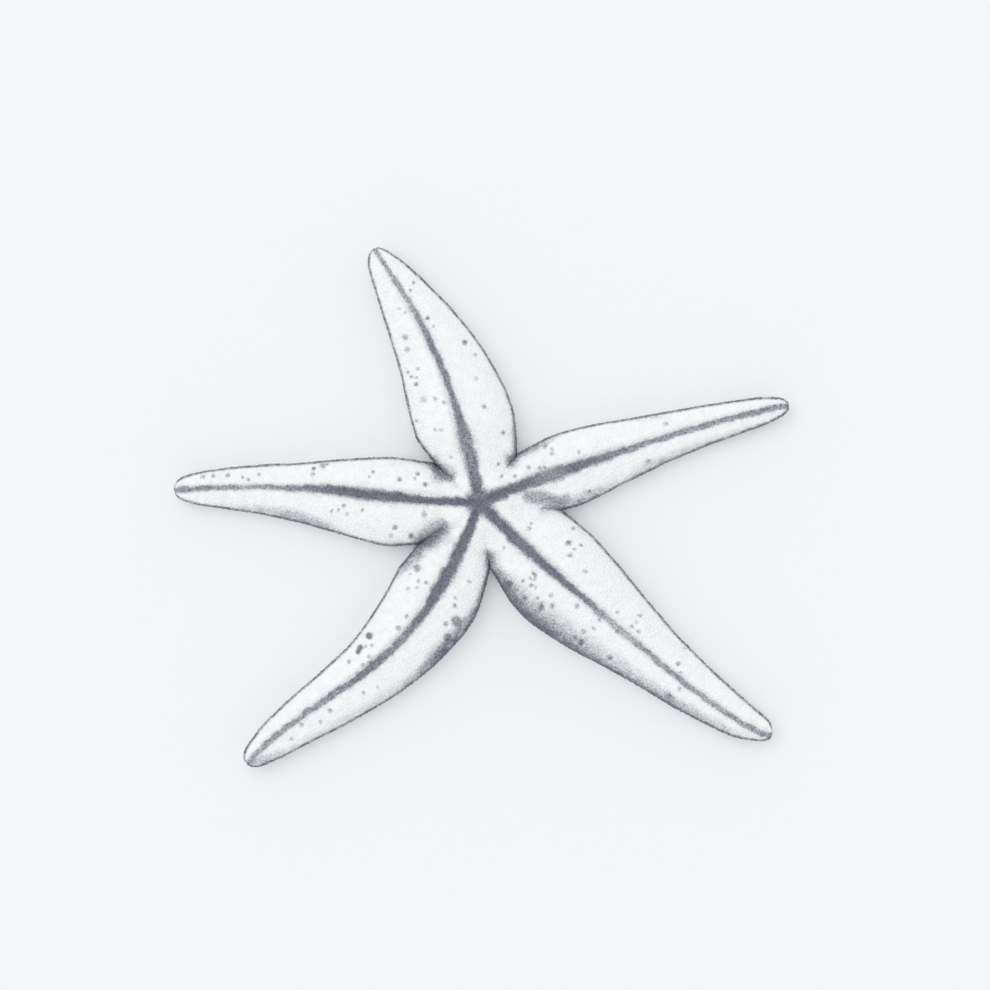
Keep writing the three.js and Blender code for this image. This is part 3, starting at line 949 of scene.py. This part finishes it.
def relief_at(places):
    """Height of the uneven surface over the plain one: low swells, and a row of small plates
    along the edge of the free arms."""
    length = np.array([line.length for line in LINES])[places.arm]
    swell = sum(high * noise_at(places.points, size, offset) for high, size, offset in SWELLS)
    wave = np.abs(np.sin(math.pi * places.share * length / PLATE_PITCH))
    plates = wave**PLATE_BLUNTNESS - PLATE_DROP
    band = smoothstep(places.inside, *BAND_START) * (1 - smoothstep(places.inside, *BAND_END))
    free = smoothstep(places.share, *FREE_ARM)
    above = smoothstep(places.points[:, 2], *RELIEF_START)
    return (swell + PLATE_RELIEF * plates * band * free) * above


skin_mesh = make_skin()
plain, facing = coordinates(skin_mesh), normals(skin_mesh)
plain_places = Places(plain)
co = plain + facing * relief_at(plain_places)[:, None]
co[:, 2] = SOLE_CLEARANCE + co[:, 2] * (1 - SOLE_CLEARANCE / DISC_HEIGHT)
skin_mesh.vertices.foreach_set("co", co.astype(np.float32).ravel())
skin_mesh.update()
upward = upward_at(facing)
set_attribute(skin_mesh, "pigment_and_shade", pigment_and_shade_at(plain_places, upward))
set_attribute(skin_mesh, "tone_and_shade", np.full(len(co), SKIN_SHADE))
from_side = groove_reach(plain_places) - np.abs(plain_places.aside)
in_groove = smoothstep(from_side, *GROOVE_TISSUE)
in_mouth = 1 - smoothstep(np.linalg.norm(plain_places.plan, axis=1), *MOUTH_TISSUE)
set_attribute(skin_mesh, "tissue", np.maximum(in_groove, in_mouth) * (1 - upward))

# ---------- granules

GRANULE_SPACING = 0.72  # mm between neighbours, at least
GRANULE_TRIES = 16  # candidates for each square millimetre
GRANULE_RADIUS = 0.46
GRANULE_SIZES = (0.86, 0.98)
GRANULE_HEIGHTS = (0.09, 0.14)
GRANULE_TONES = (0, 0.5)
GROOVE_MARGIN = 0.5
# The granules' map: its span, the strips' first column, and their middles as shares of the span
GRANULE_MAP_SPAN = 80.0
GRANULE_MAP_START = 3.0
GRANULE_MAP_ROWS = (0.22, 0.66)


class Samples:
    """Random points on the skin, evenly spread by area, this many to a square millimetre."""

    def __init__(self, mesh, density):
        mesh.calc_loop_triangles()
        corners = read(mesh.loop_triangles, "vertices", 3, np.int32)
        loops = read(mesh.loop_triangles, "loops", 3, np.int32)
        faces = read(mesh.loop_triangles, "polygon_index", 1, np.int32)
        co, n = coordinates(mesh), normals(mesh)
        a, b, c = (co[corners[:, i]] for i in range(3))
        area = np.linalg.norm(np.cross(b - a, c - a), axis=1) / 2
        count = int(area.sum() * density)
        pick = rng.choice(len(area), count, p=area / area.sum())
        u, v = rng.random(count), rng.random(count)
        folded = u + v > 1
        u[folded], v[folded] = 1 - u[folded], 1 - v[folded]
        weights = np.stack([1 - u - v, u, v], axis=1)[..., None]
        self.points = (co[corners[pick]] * weights).sum(1)
        facing = (n[corners[pick]] * weights).sum(1)
        self.normals = facing / np.linalg.norm(facing, axis=1, keepdims=True)
        uv = read(mesh.uv_layers["OFBake"].data, "uv", 2)
        self.map = (uv[loops[pick]] * weights).sum(1) * MAP_SPAN
        self.arm = read(mesh.attributes["arm"].data, "value", 1, np.int32)[faces[pick]]
        upper = read(mesh.attributes["upper"].data, "value", 1, np.int32)[faces[pick]]
        self.upper = upper.astype(bool)

    def keep(self, chosen):
        for name in ("points", "normals", "map", "arm", "upper"):
            setattr(self, name, getattr(self, name)[chosen])


def spaced(points, gap):
    """Indices of the points left when each one keeps the gap from all those before it."""
    cells, kept = {}, []
    keys = np.floor(points / gap).astype(int)
    around = [(i, j, k) for i in (-1, 0, 1) for j in (-1, 0, 1) for k in (-1, 0, 1)]
    for index, (point, key) in enumerate(zip(points.tolist(), keys.tolist())):
        free = True
        for i, j, k in around:
            others = cells.get((key[0] + i, key[1] + j, key[2] + k), ())
            if any(math.dist(other, point) < gap for other in others):
                free = False
                break
        if free:
            cells.setdefault(tuple(key), []).append(point)
            kept.append(index)
    return np.array(kept)


def nearest_gap(points):
    """Distance from each point to its nearest neighbour."""
    tree = kdtree.KDTree(len(points))
    for i, point in enumerate(points):
        tree.insert(point, i)
    tree.balance()
    return np.array([tree.find_n(point, 2)[1][2] for point in points])


def turned_shape(rings, sides):
    """A closed shape of rings round the z axis, with a flat base and a point at height 1:
    points and faces. Each ring is its radius and height."""
    turn = np.arange(sides) / sides * 2 * math.pi
    levels = [
        np.stack([r * np.cos(turn), r * np.sin(turn), np.full(sides, float(h))], axis=1)
        for r, h in rings
    ]
    points = np.concatenate([*levels, [[0, 0, 1]]])
    faces = [tuple(reversed(range(sides)))]
    top = len(rings) * sides
    for level in range(len(rings)):
        for i in range(sides):
            a, b = level * sides + i, level * sides + (i + 1) % sides
            if level + 1 < len(rings):
                faces.append((a, b, b + sides, a + sides))
            else:
                faces.append((a, b, top))
    return points, faces


def scatter(name, shape, places, axes):
    """One mesh of copies of a shape. Its x, y and z become each copy's three axes."""
    points, faces = shape
    placed = places[:, None] + sum(
        points[None, :, i, None] * axis[:, None] for i, axis in enumerate(axes)
    )
    each = len(points)
    mesh = bpy.data.meshes.new(name)
    starts = range(0, len(places) * each, each)
    copies = [tuple(start + corner for corner in face) for start in starts for face in faces]
    mesh.from_pydata(placed.reshape(-1, 3).tolist(), [], copies)
    return mesh


GRANULE = turned_shape(((1.0, -0.5), (0.94, 0.3), (0.58, 0.85)), 6)


def strip_frame(points, facing):
    """Unit vectors in the surface: outwards along the arm, and square to that. The second one
    points to the arm's left on the upper side and to its right on the underside."""
    places = Places(points)
    across = np.zeros((len(points), 3))
    for k, line in enumerate(LINES):
        mine = places.arm == k
        across[mine, :2] = line.aside(places.share[mine])
    along = np.stack([across[:, 1], -across[:, 0], np.zeros(len(points))], axis=1)
    along -= facing * (along * facing).sum(1, keepdims=True)
    along /= np.linalg.norm(along, axis=1, keepdims=True)
    return along, np.cross(facing, along)


def make_granules(skin_mesh):
    """One mesh of granules for each arm."""
    samples = Samples(skin_mesh, GRANULE_TRIES)
    places = Places(samples.points)
    from_mouth = np.linalg.norm(places.plan, axis=1)
    near_groove = np.abs(places.aside) < groove_reach(places) + GROOVE_MARGIN
    bare = near_groove | (from_mouth < MOUTH_RADIUS)
    samples.keep(np.flatnonzero(samples.upper | ~bare))
    samples.keep(spaced(samples.points, GRANULE_SPACING))
    gaps = nearest_gap(samples.points)
    origins = strip_origins()
    meshes = []
    for k, arm in enumerate(ARMS):
        mine = np.flatnonzero(samples.arm == k)
        centre, facing = samples.points[mine], samples.normals[mine]
        upper = samples.upper[mine]
        count = len(mine)
        along, left = strip_frame(centre, facing)
        way = np.where(upper, 1.0, -1.0)
        radius = np.minimum(0.5 * gaps[mine], GRANULE_RADIUS) * rng.uniform(*GRANULE_SIZES, count)
        height = rng.uniform(*GRANULE_HEIGHTS, count)
        turn = rng.uniform(0, 2 * math.pi, count)
        cos, sin = (radius * np.cos(turn))[:, None], (radius * np.sin(turn))[:, None]
        axes = (along * cos + left * sin, left * cos - along * sin, facing * height[:, None])
        mesh = scatter("granules_" + arm["name"], GRANULE, centre, axes)
        points = coordinates(mesh)
        each = len(GRANULE[0])
        # the map: the strips again, each granule laid flat at its place on them
        off = points - np.repeat(centre, each, axis=0)
        origin = np.where(upper[:, None], origins[k, True], origins[k, False])
        level = np.where(upper, *GRANULE_MAP_ROWS) * GRANULE_MAP_SPAN
        u = np.repeat(samples.map[mine, 0] - origin[:, 0] + GRANULE_MAP_START, each)
        v = np.repeat(samples.map[mine, 1] - origin[:, 1] + level, each)
        u += (off * np.repeat(along, each, axis=0)).sum(1)
        v += (off * np.repeat(left * way[:, None], each, axis=0)).sum(1)
        corners = read(mesh.loops, "vertex_index", 1, np.int32)
        uv = np.stack([u, v], axis=1)[corners] / GRANULE_MAP_SPAN
        set_map(mesh, uv)
        upward = np.repeat(upward_at(facing), each)
        set_attribute(mesh, "pigment_and_shade", pigment_and_shade_at(Places(points), upward))
        set_attribute(mesh, "tone_and_shade", np.repeat(rng.uniform(*GRANULE_TONES, count), each))
        meshes.append(mesh)
    return meshes


granule_meshes = make_granules(skin_mesh)

# ---------- underside

SPINE = turned_shape(((0.8, -0.05), (1.0, 0.12), (0.9, 0.55), (0.6, 0.92)), 7)
SPINE_RADIUS = 0.24
SPINE_PITCH = 0.85
# rows beside the groove: distance out from its lip, lean inwards, and length
SPINE_ROWS = ((0.3, 0.95, 1.25), (1.0, -0.35, 1.0), (1.75, -0.5, 0.9))
MOUTH_SPINE_LENGTH = 2.1
MOUTH_SPINE_TURNS = (-12, -4, 4, 12)  # degrees to the side of each jaw's middle

FOOT = turned_shape(
    ((1.0, -0.1), (0.62, 0.18), (0.5, 0.5), (0.56, 0.7), (0.95, 0.8), (1.0, 0.9), (0.55, 0.98)), 8
)
FOOT_PITCH = 1.15
FOOT_RADIUS = 0.5
FOOT_ASIDE = 0.36  # share of the groove's half-width


def unit(v):
    return v / np.linalg.norm(v, axis=-1, keepdims=True)


def peg_axes(direction, radius, length):
    """Axes of pegs that point along the given directions."""
    z = unit(direction)
    x = unit(np.cross(z, np.array([0.0, 0.0, 1.0]) + 1e-6))
    y = np.cross(z, x)
    return x * radius[:, None], y * radius[:, None], z * length[:, None]


def underside_at(plan):
    """Height of the underside over each (x, y)."""
    up = Vector((0, 0, 1))
    return np.array([SKIN_TREE.ray_cast(Vector((x, y, -1)), up)[0].z for x, y in plan])


def along_groove(k, pitch, start, end):
    """Shares every pitch along an arm's groove, and half its width there. It begins start mm
    along the arm and stops at the share end."""
    line = LINES[k]
    share = np.arange(start / line.length, end, pitch / line.length)
    return share, channel_reach(share)


def make_spines():
    """Short blunt spines in rows beside the grooves, and a fan of them on each jaw."""
    plans, ways, lengths = [], [], []
    for k, line in enumerate(LINES):
        share, reach = along_groove(k, SPINE_PITCH, MOUTH_RADIUS + 0.8, 0.93)
        aside = line.aside(share)
        forward = np.stack([aside[:, 1], -aside[:, 0]], axis=1)
        size = reach / CHANNEL_REACH
        for side in (1, -1):
            half = FLANKS[k][side].width_at(share)
            for out, lean, length in SPINE_ROWS:
                off = reach + out * (0.4 + 0.6 * size)
                fits = off < SOLE_SHARE * half + 0.4
                jitter = rng.normal(0, 0.12, (len(share), 2))
                way = -side * lean * aside + 0.45 * forward + jitter
                rise = 0.16 if lean > 0 else 0.0
                grown = length * (0.55 + 0.45 * size) * rng.uniform(0.85, 1.1, len(share))
                plans.append((line.at(share) + aside * (off * side)[:, None])[fits])
                ways.append(np.column_stack([way, np.full(len(share), rise)])[fits])
                lengths.append(grown[fits])
    for pit in PITS:
        for turn in MOUTH_SPINE_TURNS:
            bearing = math.radians(pit["bearing"] + turn)
            out = np.array([math.cos(bearing), math.sin(bearing)])
            plans.append([out * (MOUTH_RADIUS + 0.3)])
            ways.append([[*(-out), 0.2]])
            lengths.append([MOUTH_SPINE_LENGTH * rng.uniform(0.85, 1.05)])
    plans, ways, lengths = map(np.concatenate, (plans, ways, lengths))
    radius = SPINE_RADIUS * np.clip(lengths / 1.2, 0.7, 1.3) * rng.uniform(0.9, 1.05, len(lengths))
    height = np.maximum(underside_at(plans) - 0.3 * radius, radius + 0.01)
    starts = np.column_stack([plans, height])
    return scatter("spines", SPINE, starts, peg_axes(ways, radius, lengths))


def make_tube_feet():
    """Dried tube feet, two rows hanging in each groove."""
    plans, ways, radii = [], [], []
    for k, line in enumerate(LINES):
        share, reach = along_groove(k, FOOT_PITCH, MOUTH_RADIUS + 0.6, 0.9)
        aside = line.aside(share)
        for side in (1, -1):
            sway = rng.normal(0, 0.16, (len(share), 2)) + 0.12 * side * aside
            plans.append(line.at(share) + aside * (FOOT_ASIDE * reach * side)[:, None])
            ways.append(np.column_stack([sway, -np.ones(len(share))]))
            radii.append(FOOT_RADIUS * reach / CHANNEL_REACH * rng.uniform(0.85, 1.05, len(share)))
    plans, ways, radii = map(np.concatenate, (plans, ways, radii))
    roof = underside_at(plans)
    deep = roof > 0.9
    plans, ways, radii, roof = plans[deep], ways[deep], radii[deep], roof[deep]
    lengths = (roof - 0.4) * rng.uniform(0.7, 1, len(roof)) + 0.1
    starts = np.column_stack([plans, roof + 0.1])
    return scatter("tube_feet", FOOT, starts, peg_axes(ways, radii, lengths))


def plain_material(name, light, dark, grain_mm, roughness, bump_mm):
    """A matt material that varies between two colours."""
    m = Nodes(name)
    coarse = m.spread(m.noise(grain_mm * 4, 3.0, 0.55), 0.3, 0.7)
    m.plug(m.shader.inputs["Base Color"], m.mix(coarse, light, dark))
    fine = m.noise(grain_mm, 3.0, 0.6)
    rough = m.math("ADD", roughness - 0.06, m.math("MULTIPLY", fine, 0.12))
    m.plug(m.shader.inputs["Roughness"], rough)
    m.shader.inputs["Specular IOR Level"].default_value = 0.3
    m.bump(fine, bump_mm)
    return m.material


SPINE_MATERIAL = plain_material(
    "spine_calcite", linear(243, 241, 236), linear(222, 219, 212), 0.2, 0.78, 0.03
)
FOOT_MATERIAL = plain_material(
    "dried_tube_feet", linear(206, 192, 172), linear(160, 143, 124), 0.25, 0.55, 0.05
)

SKIN_TREE = BVHTree.FromPolygons(
    [Vector(v) for v in co], [p.vertices for p in skin_mesh.polygons], all_triangles=False
)
spine_mesh = make_spines()
foot_mesh = make_tube_feet()

# ---------- into the frame

middle = (co.min(0) + co.max(0)) / 2
box_middle = (cad_low + cad_high) / 2 / MM
shift = Vector((box_middle.x - middle[0], box_middle.y - middle[1], 0))
for mesh in (skin_mesh, *granule_meshes, spine_mesh, foot_mesh):
    mesh.transform(Matrix.Translation(shift))

skin = put(skin_mesh, SKIN_MATERIAL)
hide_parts("starfish")
for mesh in granule_meshes:
    put(mesh, GRANULE_MATERIAL)
put(spine_mesh, SPINE_MATERIAL)
put(foot_mesh, FOOT_MATERIAL)

# ---------- stage

FLOOR_HALF = 4  # metres
FLOOR_COLOUR = linear(244, 245, 246)
SKY_COLOUR = (0.985, 0.99, 1.0, 1)
SKY_STRENGTH = 0.765
LAMP_ENERGY = 0.85
LAMP_SPREAD = 60  # degrees
LAMP_WAY = (0.28, -0.25, -1)

floor_mesh = bpy.data.meshes.new("floor")
floor_corners = [(x * FLOOR_HALF, y * FLOOR_HALF, 0) for x, y in ((-1, -1), (1, -1), (1, 1), (-1, 1))]
floor_mesh.from_pydata(floor_corners, [], [(0, 1, 2, 3)])
floor_material = Nodes("pale_floor")
floor_material.shader.inputs["Base Color"].default_value = FLOOR_COLOUR
floor_material.shader.inputs["Roughness"].default_value = 0.9
floor_material.shader.inputs["Specular IOR Level"].default_value = 0.1
floor_mesh.materials.append(floor_material.material)
floor = bpy.data.objects.new("floor", floor_mesh)
bpy.context.scene.collection.objects.link(floor)

world = bpy.data.worlds.new("studio")
world.use_nodes = True
sky = world.node_tree.nodes["Background"]
sky.inputs["Color"].default_value = SKY_COLOUR
sky.inputs["Strength"].default_value = SKY_STRENGTH
bpy.context.scene.world = world

lamp = bpy.data.objects.new("lamp", bpy.data.lights.new("lamp", "SUN"))
lamp.data.angle = math.radians(LAMP_SPREAD)
lamp.data.energy = LAMP_ENERGY
lamp.rotation_euler = Vector(LAMP_WAY).to_track_quat("-Z", "Y").to_euler()
bpy.context.scene.collection.objects.link(lamp)

bpy.context.scene.view_settings.view_transform = "Standard"
bpy.context.scene.view_settings.look = "None"
